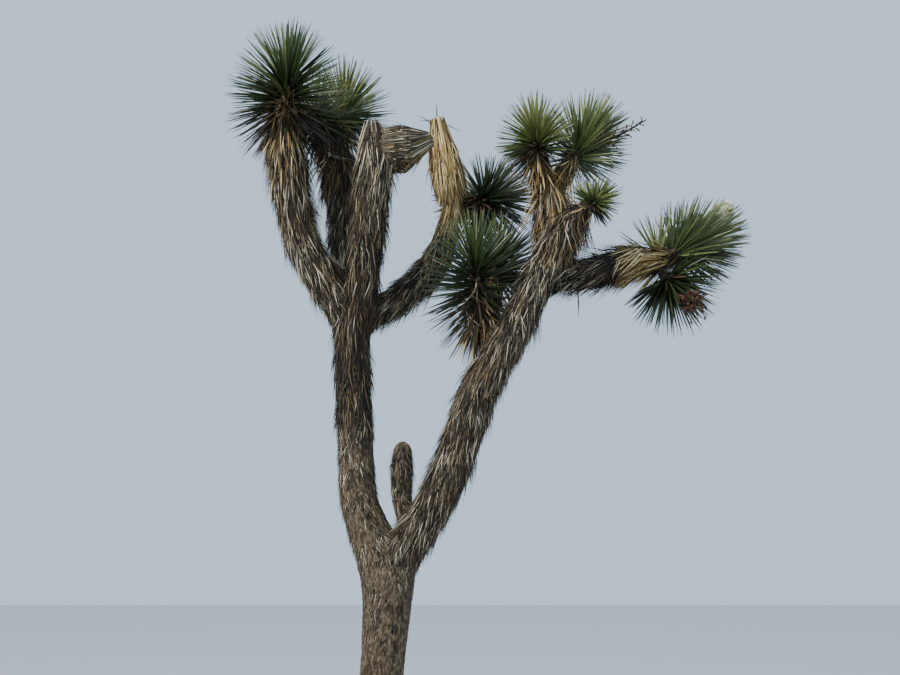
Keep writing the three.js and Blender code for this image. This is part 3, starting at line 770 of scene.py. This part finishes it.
FOOT = [(0, 0, -0.06, 0.195), (0, 0, 0.02, 0.18)]  # the trunk drawn on below the ground for the flat cut
GRAIN_STRETCH = 0.3  # share of the way along a limb that counts, so that ridges come out long
RIDGE_SCALE = 60
RIDGE_PATTERN = (0.9, 2.1, 3, 1.0, 2.0)  # fall and step between layers, their number, offset and gain
RIDGE_MIDDLE = 0.55  # the relief that stays where the smooth skin was
AT_GROUND = 1e-4  # height under which a point belongs to the flat cut
LIMB_SIDES = 36
STEM_SIDES = 12
# Shares of each limb under the lower and the upper bark, which overlap on the two stems
LOW_LIMBS = {"trunk": (0, 1), "left_stem": (0, 0.5), "right_stem": (0, 0.3), "dead_stub": (0, 1)}
HIGH_LIMBS = {
    **{name: (0, 1) for name in LIMBS if name not in LOW_LIMBS},
    "left_stem": (0.47, 1),
    "right_stem": (0.27, 1),
}


def swelling(name, surface):
    """How far a limb's bark swells near the other limbs, to run together with them."""
    swell = np.zeros(surface.shape[:-1])
    for other, line in LINES.items():
        if other != name:
            closeness = np.clip(1 - np.abs(gap_to(line, surface)) / FILLET, 0, 1)
            swell = np.maximum(swell, closeness**2 * FILLET_RISE)
    return swell


def limb_shape(name):
    """The uneven outline of a limb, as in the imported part: waves, and lobes at the foot of the trunk."""
    index = list(LIMBS).index(name)
    line = LINES[name]

    def shape(distance, angle):
        waves = np.sin(3 * angle + distance / 0.09 + index)
        waves += np.sin(2 * angle - distance / 0.15 + 2 * index)
        flare = np.clip(1 - distance / FLARE_TOP, 0, 1) if name == "trunk" else 0
        share = 1 + SHAG * 0.5 * waves + FLARE_DEPTH * flare * np.cos(FLARE_LOBES * angle)
        axis_point, out, radius = line.outward(distance, angle)
        return share + swelling(name, axis_point + out * (radius * share)[..., None]) / radius

    return shape


def fused(name, tubes, voxel):
    """One skin over several tubes."""
    rough = arrays_to_object(name + "_rough", *joined(tubes))
    remesh = rough.modifiers.new("fuse", "REMESH")
    remesh.mode = "VOXEL"
    remesh.voxel_size = voxel
    soften = rough.modifiers.new("soften", "SMOOTH")
    soften.factor = 0.5
    soften.iterations = 4
    graph = bpy.context.evaluated_depsgraph_get()
    mesh = bpy.data.meshes.new_from_object(rough.evaluated_get(graph))
    bpy.data.objects.remove(rough)
    mesh.name = name
    return placed(name, mesh)


def cut_at_ground(mesh):
    cut = bmesh.new()
    cut.from_mesh(mesh)
    everything = cut.verts[:] + cut.edges[:] + cut.faces[:]
    bmesh.ops.bisect_plane(cut, geom=everything, plane_co=(0, 0, 0), plane_no=(0, 0, 1), clear_inner=True)
    rim = [edge for edge in cut.edges if edge.is_boundary]
    bmesh.ops.contextual_create(cut, geom=rim)
    cut.to_mesh(mesh)
    cut.free()


def grain_of(points):
    """Each point's place on its nearest limb laid out straight, shortened along it for a long pattern."""
    grain = np.zeros_like(points)
    nearest = np.full(len(points), np.inf)
    for index, line in enumerate([*LINES.values(), *STEMS.values()]):
        offsets = points[:, None] - line.point[COARSE]
        gaps = np.linalg.norm(offsets, axis=-1) - line.radius[COARSE]
        best = gaps.argmin(axis=1)
        gap = gaps[np.arange(len(points)), best]
        offset = offsets[np.arange(len(points)), best]
        tangent = line.tangent[COARSE][best]
        side = line.side[COARSE][best]
        along = line.arc[COARSE][best] + (offset * tangent).sum(axis=-1)
        across = (offset * side).sum(axis=-1)
        other = (offset * np.cross(tangent, side)).sum(axis=-1)
        here = np.stack([across, other, GRAIN_STRETCH * along + index], axis=-1)
        grain = np.where((gap < nearest)[:, None], here, grain)
        nearest = np.minimum(gap, nearest)
    return grain


def ridges(grain):
    """Long ridges and hollows, from 0 to 1."""
    values = [noise.ridged_multi_fractal(Vector(p) * RIDGE_SCALE, *RIDGE_PATTERN) for p in grain]
    low, high = np.percentile(values, (2, 98))
    return np.clip((np.array(values) - low) / (high - low), 0, 1)


def read_vectors(collection, field):
    """The vectors that a mesh holds for its points, one to a row."""
    values = np.zeros(len(collection) * 3, np.float32)
    collection.foreach_get(field, values)
    return values.reshape(-1, 3)


def note(mesh, name, kind, field, values):
    """Keeps an attribute on the points of a mesh."""
    attribute = mesh.attributes.new(name, kind, "POINT")
    attribute.data.foreach_set(field, values.astype(np.float32).ravel())


def raise_ridges(mesh, depth):
    """Moves the points of a skin out on its ridges and in between them."""
    places = read_vectors(mesh.vertices, "co")
    normals = read_vectors(mesh.vertex_normals, "vector")
    grain = grain_of(places)
    relief = ridges(grain)
    normals[places[:, 2] < AT_GROUND] = 0
    moved = places + normals * (depth * (relief - RIDGE_MIDDLE))[:, None]
    moved[:, 2] = np.maximum(moved[:, 2], 0)
    mesh.vertices.foreach_set("co", moved.astype(np.float32).ravel())
    note(mesh, "grain", "FLOAT_VECTOR", "vector", grain)
    note(mesh, "relief", "FLOAT", "value", relief)


def add_bark(name, tubes, limbs, voxel, depth, colours):
    """Bark over these tubes, with ridges of this depth. It takes the place of these limbs."""
    piece = fused(name, tubes, voxel)
    if "trunk" in limbs:
        cut_at_ground(piece.data)
    raise_ridges(piece.data, depth)
    piece.data.materials.append(bark_material(name, *colours))
    piece.data.shade_smooth()
    piece.data.update()
    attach(piece, "root")
    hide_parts(*limbs)


def limb_tubes(shares, step):
    return [tube(LINES[name], LIMB_SIDES, step, limb_shape(name), *ends) for name, ends in shares.items()]


def add_low_bark():
    tubes = limb_tubes(LOW_LIMBS, step=0.02) + [tube(Line(FOOT), LIMB_SIDES, step=0.02)]
    limbs = list(LOW_LIMBS)
    add_bark("bark_trunk", tubes, limbs, voxel=0.0075, depth=0.011, colours=TRUNK_BARK)


def add_high_bark():
    tubes = limb_tubes(HIGH_LIMBS, step=0.03)
    tubes += [tube(line, STEM_SIDES, step=0.03) for line in STEMS.values()]
    limbs = [name for name in HIGH_LIMBS if name not in LOW_LIMBS]
    add_bark("bark_boughs", tubes, limbs, voxel=0.013, depth=0.008, colours=BOUGH_BARK)


# Dead leaves that lie back along the limbs

LEAST_RADIUS = 0.02  # of the stem that leaves lie on, where it thins out
ROOTED = 0.97  # share of the limb's radius at which they start
CURL = 0.3  # how much more steeply they start than they end
HANG_BEND = 1.5


def lie_back(line, distance, angle, length, lift, limpness, swells=None):
    """Middle lines of leaves that lie back along a limb, and the ways out of it. On a leaning limb they
    slide round it, and those below it hang clear. They keep above the swollen bark of limb `swells`."""
    t = THATCH_PLACES
    veer = spread(len(distance), 2) * VEER / length * (VEER_STIFF + (1 - VEER_STIFF) * limpness)
    _, out, radius = line.outward(distance, angle)
    tangent = line.at(distance)[1]
    around = np.cross(tangent, out)
    lean = np.sqrt(1 - tangent[:, 2] ** 2)
    slide = -around[:, 2] * LIMP_SLIDE * limpness
    hang = np.clip(-out[:, 2], 0, 1) * lean * limpness
    hang *= HANG_LEAST + HANG_MORE * rng.random(len(distance))
    along = distance[:, None] - (length * np.cos(lift))[:, None] * t
    turn = angle[:, None] + ((veer + slide) * length / radius)[:, None] * t
    height = (length * np.sin(lift))[:, None] * t * (1 + CURL - CURL * t)
    height += (length * hang)[:, None] * t**HANG_BEND
    axis_point, out, radius = line.outward(along, turn)
    reach = np.maximum(radius, LEAST_RADIUS) * ROOTED + height
    if swells:
        reach += swelling(swells, axis_point + out * reach[..., None])
    return axis_point + out * reach[..., None], out


def shades(kind, dark):
    """Random colour numbers within one kind of dead leaf. Above 1, `dark` favours the darker ones, which
    are partly painted shade.
    """
    return np.floor(len(kind) * rng.random(len(dark)) ** dark).astype(int)


def deal(brown, gold, dark):
    """A colour number for each dead leaf: greys first, then browns, then golds."""
    pick = rng.random(len(brown))
    grey_numbers = shades(GREYS, dark)
    brown_numbers = len(GREYS) + shades(BROWNS, dark)
    gold_numbers = len(GREYS) + len(BROWNS) + shades(GOLDS, dark)
    other = np.where(pick < gold + brown * (1 - gold), brown_numbers, grey_numbers)
    return np.where(pick < gold, gold_numbers, other)


def tufts(line, distance, angle):
    """Soft noise from about -0.5 to 0.5, which neighbouring leaves of a limb share."""
    point, out, radius = line.outward(distance, angle)
    places = (point + out * radius[:, None]) * TUFT_SCALE
    return np.array([noise.noise(Vector(place)) for place in places])


CROWD_SAMPLES = 200
ROOT_MARGIN = -0.01  # leaves that start deeper than this in another limb are left out
GROUND_GAP = 0.01
ROLL_SPREAD = 0.3


def dealt_places(line, place, spacing):
    """Random distances along a line, crowded as `spacing` says at the places given."""
    fine = np.linspace(0, place[-1], CROWD_SAMPLES)
    around = 2 * math.pi * np.interp(fine * line.length, line.arc, line.radius)
    area = around * line.length * place[-1] / len(fine)
    crowd = np.cumsum(area / np.interp(fine, place, spacing) ** 2)
    count = round(crowd[-1])
    return np.interp(np.arange(count) + rng.random(count), crowd, fine) * line.length


def thatch_on(name):
    """The dead leaves of one limb: middle lines, ways up, widths, colour numbers and lengths."""
    line = LINES.get(name) or STEMS[name]
    place, spacing, *columns = np.array(THATCH.get(name, SKIRT)).T
    distance = dealt_places(line, place, spacing)
    count = len(distance)
    angle = rng.random(count) * 2 * math.pi
    length, lift, brown, gold, dark = (
        np.interp(distance / line.length, place, column) for column in columns
    )
    tuft = tufts(line, distance, angle)
    length = length * (1 + spread(count, LENGTH_VARIETY) * (1 - GOLD_VARIETY * gold))
    limpness = lerp(1, GOLD_LIMPNESS, gold)
    if name in STIFF_HEADS:
        length = np.minimum(length, distance)
        limpness = np.full(count, STIFF_LIMPNESS)
    loose = 1 - GOLD_ORDER * gold
    uneven = 1 + loose * LIFT_VARIETY * (rng.random(count) ** LIFT_BIAS - 0.5)
    lift = np.radians(lift) * uneven * np.maximum(LEAST_LIFT, 1 + TUFT_LIFT * loose * tuft)
    brown = np.clip(brown - TUFT_BROWN * tuft, 0, 1)
    swells = name if name in LINES else None
    paths, ups = lie_back(line, distance, angle, length, lift, limpness, swells)
    kept = ~inside_limbs(paths[:, 0], own=name, margin=ROOT_MARGIN)
    kept &= paths[:, :, 2].min(axis=1) > GROUND_GAP
    ups = unit(ups + rng.normal(0, ROLL_SPREAD, (count, 1, 3)))
    widths = (LEAST_WIDTH + WIDTH_SHARE * length) * (1 + spread(count, WIDTH_VARIETY))
    return [values[kept] for values in (paths, ups, widths, deal(brown, gold, dark), length)]


def gathered(groups):
    return [np.concatenate(parts) for parts in zip(*groups)]


def add_thatch(name, limbs, materials):
    *leaves, length = gathered([thatch_on(limb) for limb in limbs])
    short = length < NEEDLE_LIMIT
    paths, ups, widths, colours = (values[short] for values in leaves)
    needles = leaf_mesh(paths[:, ::2], ups[:, ::2], widths, colours, NEEDLE_PROFILE, FLAT_SECTION)
    paths, ups, widths, colours = (values[~short] for values in leaves)
    strands = leaf_mesh(paths, ups, widths, colours, THATCH_PROFILE, FLAT_SECTION)
    vertices, triangles, dealt = joined([needles, strands])
    add_piece(name, vertices, triangles, materials, dealt)


# Heads

def turned_outward(tangent, turn):
    """Ways out of a stem, turned round it from the level side."""
    level = np.stack([-tangent[:, 1], tangent[:, 0], np.zeros(len(turn))], axis=-1)
    steep = np.linalg.norm(level, axis=-1) < STEEP
    side = unit(np.where(steep[:, None], (1, 0, 0), level))
    other = unit(np.cross(tangent, side))
    across = np.cross(other, tangent)
    return across * np.cos(turn)[:, None] + other * np.sin(turn)[:, None]


def head_leaves(name):
    """Middle lines, ways up, colours and kinds of a head's leaves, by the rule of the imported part: a
    spiral of the golden angle, even over the ball of green leaves, with the dead ones turned back."""
    head = HEADS[name]
    line = STEMS[name]
    count = head["leaves"] * head["fineness"]
    greens = round(count * head["live"])
    k = np.arange(count)
    green = k < greens
    share = np.where(green, (k + 0.5) / max(greens, 1), (k - greens + 0.5) / max(count - greens, 1))
    live_polar = np.arccos(1 - share * (1 - math.cos(math.radians(head["set"]))))
    dead_polar = np.radians(lerp(head["turn_from"], head["turn_back"], share))
    polar = np.where(green, live_polar, dead_polar)
    depth = np.where(green, head["live_to"] * share, lerp(head["live_to"], DEAD_TO, share))
    scale = np.where(green, 1 - head["shorten"] * share, 1 - head["shorten"])
    tilt = polar + spread(count, TILT_SPREAD)
    turn = k * GOLDEN_ANGLE + spread(count, TURN_SPREAD)
    distance = (1 - TIP_GAP - depth) * line.length
    point, tangent, _, radius = line.at(distance)
    outward = turned_outward(tangent, turn)
    direction = tangent * np.cos(tilt)[:, None] + outward * np.sin(tilt)[:, None]
    root = point + outward * (ROOT_DEPTH * radius * np.minimum(1, ROOT_RISE * np.sin(polar)))[:, None]
    length = head["length"] * scale * (1 + spread(count, LENGTH_SPREAD))
    if name in STIFF_HEADS:
        length = np.where(green, length, np.minimum(length, distance))
    paths = drooping(root, direction, length, np.abs(rng.normal(*SAG, count)))
    up = unit(outward + rng.normal(0, UP_SPREAD, outward.shape))
    ups = np.repeat(up[:, None], paths.shape[1], axis=1)
    kept = own_space(name, paths) & ~inside_limbs(paths[:, 2:]).any(axis=-1)
    colours = green_colour(polar, direction, head["tone"])
    return [values[kept] for values in (paths, ups, colours, green)]


def drooping(root, direction, length, sag):
    """Middle lines of straight leaves that sink a share of their length at the tip."""
    t = GREEN_PLACES[None, :, None]
    down = np.array([0, 0, -1]) * (sag * length)[:, None, None]
    return root[:, None] + direction[:, None] * length[:, None, None] * t + down * t**2


def own_space(name, paths):
    """Whether each leaf keeps to its own head's side of the space between two heads."""
    gaps = {}
    for head, line in STEMS.items():
        stem = line.at(line.length * OWN_PLACES)[0]
        gaps[head] = np.linalg.norm(paths[:, 1:, None] - stem, axis=-1).min(axis=-1)
    own = gaps.pop(name)
    return np.all([own < gap + OVERLAP for gap in gaps.values()], axis=0).all(axis=-1)


def green_colour(polar, direction, tone):
    """A colour number for each green leaf: light in the middle of the head, where the young leaves are,
    and lighter still where it points up, as painted light, and deeper elsewhere, partly for age and partly
    as painted shade. Dying ones are brown, and paler where they point to the front, as painted light."""
    count = len(polar)
    # Painted light and shade: lighter where a leaf points up, and darker far from the middle of the head,
    # as well as by age
    shade = TONE_MIDDLE - TONE_FALL * polar + TONE_UP * direction[:, 2] + tone
    shade += rng.normal(0, TONE_SPREAD, count)
    number = np.clip(np.round(shade), 0, len(GREENS) - 1)
    drop = np.clip(-direction[:, 2] - DYING_DROP, 0, 1)
    risk = np.clip((polar - DYING_FROM) * DYING_RATE * drop, 0, DYING_MOST)
    dying = rng.random(count) < risk
    # Painted light and shade: dying leaves that point to the front are paler, and the others get the
    # darkest colour
    front_lit = np.round(-PAINTED_FRONT_LIGHT * direction[:, 1] - PAINTED_FRONT_LIGHT_START + rng.normal(0, PAINTED_FRONT_LIGHT_SPREAD, count))
    return np.where(dying, len(GREENS) + np.clip(front_lit, 0, len(DYING) - 1), number)


def add_green_leaves(paths, ups, widths, colours):
    """The green leaves and the dying ones among them, each with a brown spine for its tip."""
    vertices, triangles, dealt = leaf_mesh(paths, ups, widths, colours, GREEN_PROFILE, KEELED_SECTION)
    tips = len(KEELED_SECTION)
    dealt.reshape(len(paths), -1)[:, -tips:] = len(GREENS)
    materials = palette(GREENS, 0.4) + palette(DYING, 0.7)
    piece = add_piece("green_leaves", vertices, triangles, materials, dealt)
    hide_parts(*[name for name, head in HEADS.items() if head["live"] > 0])


def add_straw_leaves(paths, ups):
    """The dead leaves of the heads, turned back."""
    widths = STRAW_WIDTH * (1 + spread(len(paths), STRAW_VARIETY))
    colours = shades(GOLDS, np.full(len(paths), STRAW_DARK))
    vertices, triangles, dealt = leaf_mesh(paths, ups, widths, colours, THATCH_PROFILE, KEELED_SECTION)
    piece = add_piece("straw_leaves", vertices, triangles, palette(GOLDS, 0.7), dealt)
    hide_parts(*[name for name, head in HEADS.items() if head["live"] == 0])


def add_heads():
    paths, ups, colours, green = gathered([head_leaves(name) for name in HEADS])
    widths = GREEN_WIDTH * (1 + spread(len(paths), GREEN_VARIETY))
    add_green_leaves(paths[green], ups[green], widths[green], colours[green])
    add_straw_leaves(paths[~green][:, ::2], ups[~green][:, ::2])


def add_strays():
    paths = np.array(STRAYS)
    ups = np.full_like(paths, STRAY_UP)
    widths = np.full(len(paths), STRAW_WIDTH)
    colours = np.arange(len(paths)) % len(STRAY_COLOURS)
    vertices, triangles, dealt = leaf_mesh(paths, ups, widths, colours, THATCH_PROFILE, FLAT_SECTION)
    add_piece("stray_leaves", vertices, triangles, palette(STRAY_COLOURS, 0.8), dealt)


# Fruit, stalk and bud

def pod(foot, direction, length):
    """A dry pod, from its foot outwards."""
    direction = unit(np.array(direction))
    last = len(POD_SHAPE) - 1
    stations = [
        (*(foot + direction * length * i / last), length * share) for i, share in enumerate(POD_SHAPE)
    ]
    return tube(Line(stations), 6, length / 5)


def twig(start, end, radii, sides):
    """A thin straight twig, with its radii at its foot, its middle and its tip."""
    points = (start, lerp(start, end, 0.5), end)
    return tube(Line([(*point, radius) for point, radius in zip(points, radii)]), sides, 0.02)


def stalk_pods():
    """A dry panicle: the stalk with short twigs set round it in a spiral, and a few pods on each."""
    line = Line(STALK)
    parts = [tube(line, 8, 0.02)]
    for i in range(STALK_TWIGS):
        share = i / STALK_TWIGS
        distance = np.array(lerp(*STALK_REACH, share) * line.length)
        point, out, _ = line.outward(distance, np.array(i * GOLDEN_ANGLE))
        way = unit(out + STALK_TWIG_LEAN * line.tangent[-1])
        tip = point + way * STALK_TWIG_LENGTH * (1 - STALK_TAPER * share)
        parts.append(twig(point, tip, STALK_TWIG_RADII, 5))
        length = STALK_POD_LENGTH * (1 - STALK_POD_TAPER * share)
        for place in STALK_POD_PLACES:
            lean = way + rng.normal(0, STALK_POD_SPREAD, 3)
            parts.append(pod(lerp(point, tip, place), lean, length))
    return parts


def cluster_pods():
    """Old fruit in a ragged ball on the end of its stalk, and a few pods that hang from it on threads."""
    line = Line(CLUSTER_STALK)
    centre = line.point[-1]
    parts = [tube(line, 8, 0.02)]
    for i in range(CLUSTER_PODS):
        up = 1 - 2 * (i + 0.5) / CLUSTER_PODS
        level = math.sqrt(1 - up * up)
        turn = i * GOLDEN_ANGLE
        out = np.array([level * math.cos(turn), level * math.sin(turn), up])
        reach = CLUSTER_RADIUS * (CLUSTER_CORE + (1 - CLUSTER_CORE) * rng.random())
        foot = centre + out * (reach - CLUSTER_POD_LENGTH)
        parts.append(twig(centre, foot, CLUSTER_TWIG_RADII, 4))
        lean = out + rng.normal(0, CLUSTER_POD_SPREAD, 3) + CLUSTER_POD_DROOP
        parts.append(pod(foot, lean, CLUSTER_POD_LENGTH * lerp(*CLUSTER_POD_SIZES, rng.random())))
    for tip in np.array(HANGING_PODS):
        parts.append(twig(centre, tip, THREAD_RADII, 5))
        parts.append(pod(tip + HANGING_OVERLAP, (0, 0, -1), HANGING_POD_LENGTH))
    return parts


def add_fruit():
    parts = []
    for i, (vertices, triangles) in enumerate(stalk_pods() + cluster_pods()):
        parts.append((vertices, triangles, np.full(len(triangles), i % len(FRUITS))))
    vertices, triangles, dealt = joined(parts)
    add_piece("dry_fruit", vertices, triangles, palette(FRUITS, 0.8), dealt, smooth=True)


def bud_scales():
    """Pointed scales in a spiral, which close over the bud."""
    line = Line(BUD[::-1])
    number = np.arange(BUD_SCALES)
    first, last = BUD_REACH
    place = first + (last - first) * number / BUD_SCALES
    length = np.full(BUD_SCALES, SCALE_LENGTH)
    lift = np.radians(np.full(BUD_SCALES, SCALE_LIFT))
    distance = place * line.length + length * SCALE_SHIFT
    paths, ups = lie_back(line, distance, number * GOLDEN_ANGLE, length, lift, 0)
    colours = rng.integers(0, len(BUDS), BUD_SCALES)
    return leaf_mesh(paths, ups, np.full(BUD_SCALES, SCALE_WIDTH), colours, SCALE_PROFILE, FLAT_SECTION)


def add_bud():
    """The flower bud: scales round a core on its stalk."""
    scales = bud_scales()
    core_vertices, core_triangles = tube(Line(BUD), 16, 0.01)
    core = (core_vertices, core_triangles, np.zeros(len(core_triangles), int))
    vertices, triangles, dealt = joined([core, scales])
    add_piece("flower_bud", vertices, triangles, palette(BUDS, 0.55), dealt)


# The stage

def add_floor():
    half = 40
    corners = [(-half, -half, 0), (half, -half, 0), (half, half, 0), (-half, half, 0)]
    mesh = bpy.data.meshes.new("floor")
    mesh.from_pydata(corners, [], [(0, 1, 2, 3)])
    mesh.materials.append(plain_material("floor_pale", FLOOR, 0.9))
    placed("floor", mesh)


def add_light(name, place, target, size, power, colour):
    data = bpy.data.lights.new(name, "AREA")
    data.shape = "DISK"
    data.size = size
    data.energy = power
    data.color = colour
    lamp = placed(name, data)
    lamp.location = place
    lamp.rotation_euler = (Vector(target) - Vector(place)).to_track_quat("-Z", "Y").to_euler()


def add_world():
    world = bpy.data.worlds.new("world")
    world.use_nodes = True
    background = world.node_tree.nodes["Background"]
    background.inputs["Color"].default_value = linear(SKY)
    background.inputs["Strength"].default_value = SKY_STRENGTH
    bpy.context.scene.world = world


def add_camera():
    data = bpy.data.cameras.new("camera")
    data.lens = LENS_MM
    data.sensor_width = SENSOR_MM
    camera = placed("camera", data)
    camera.location = EYE
    camera.rotation_euler = (math.radians(90 + TILT_UP), 0, 0)
    bpy.context.scene.camera = camera


add_camera()
add_floor()
add_world()
add_light("key", **KEY_LIGHT)

add_low_bark()
add_high_bark()
dead_materials = palette(GREYS, 0.9) + palette(BROWNS, 0.85) + palette(GOLDS, 0.75)
for piece_name, limb_names in THATCH_PIECES.items():
    add_thatch(piece_name, limb_names, dead_materials)
add_thatch("thatch_heads", list(HEADS), dead_materials)
add_heads()
add_strays()
add_fruit()
add_bud()
